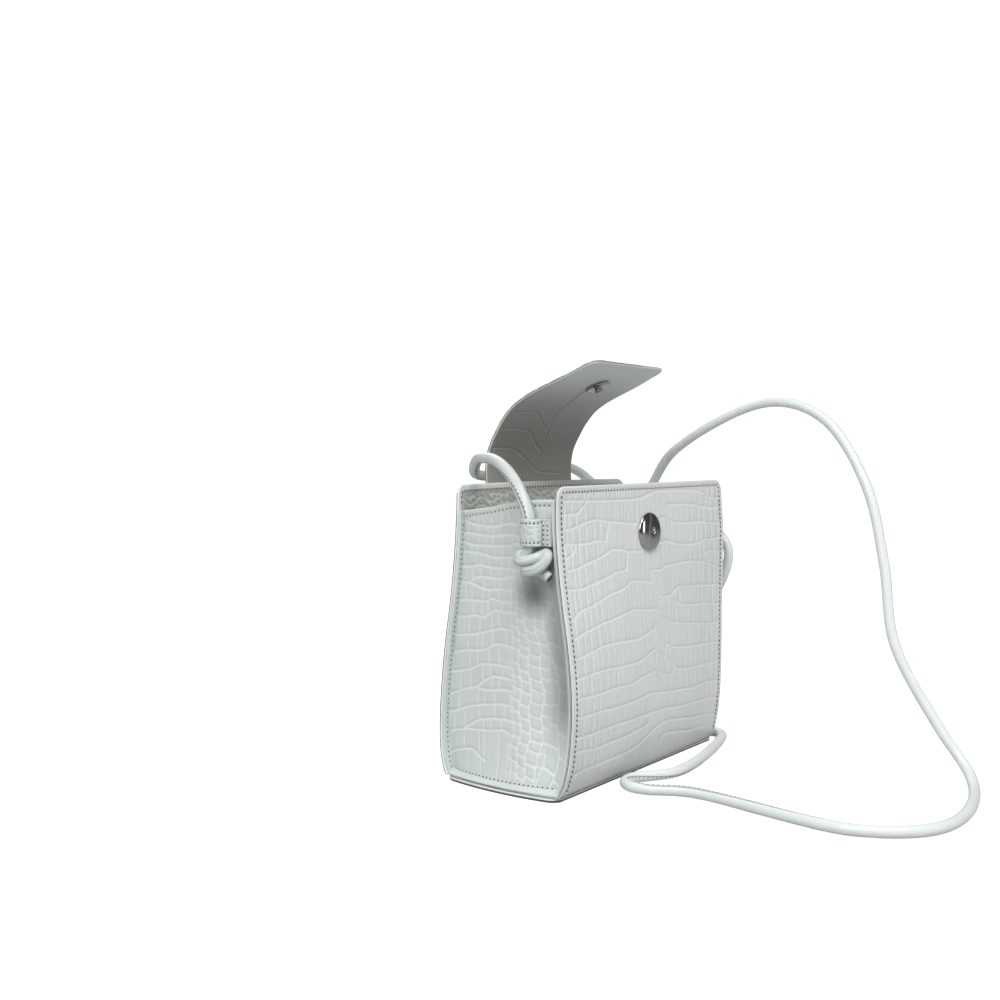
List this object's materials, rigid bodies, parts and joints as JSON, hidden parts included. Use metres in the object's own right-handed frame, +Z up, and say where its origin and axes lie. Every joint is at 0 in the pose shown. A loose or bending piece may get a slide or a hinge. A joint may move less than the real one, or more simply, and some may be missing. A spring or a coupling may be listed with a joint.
{
  "type": "handbag",
  "caption": "Small upright handbag in embossed leather with folding side gussets, a snap flap standing open, and a long rolled strap knotted under loops on its sides.",
  "frame": {"origin": "centre of the base's underside", "axes": "+Z up, -Y the front panel, +X to the right seen from the front"},
  "size_m": [0.2089, 0.2691, 0.2332],
  "materials": {
    "leather": "white embossed leather, softly glossy",
    "strap": "white rolled leather cord",
    "snap_metal": "polished dark nickel"
  },
  "bodies": {
    "root": {"front_panel": "leather", "back_panel": "leather", "gusset_left": "leather", "gusset_right": "leather", "base": "leather", "flap": "leather", "keeper_left": "leather", "keeper_right": "leather", "strap_cord": "strap", "knot_left": "strap", "knot_right": "strap", "snap_socket": "snap_metal", "snap_stud": "snap_metal"}
  },
  "joints": []
}
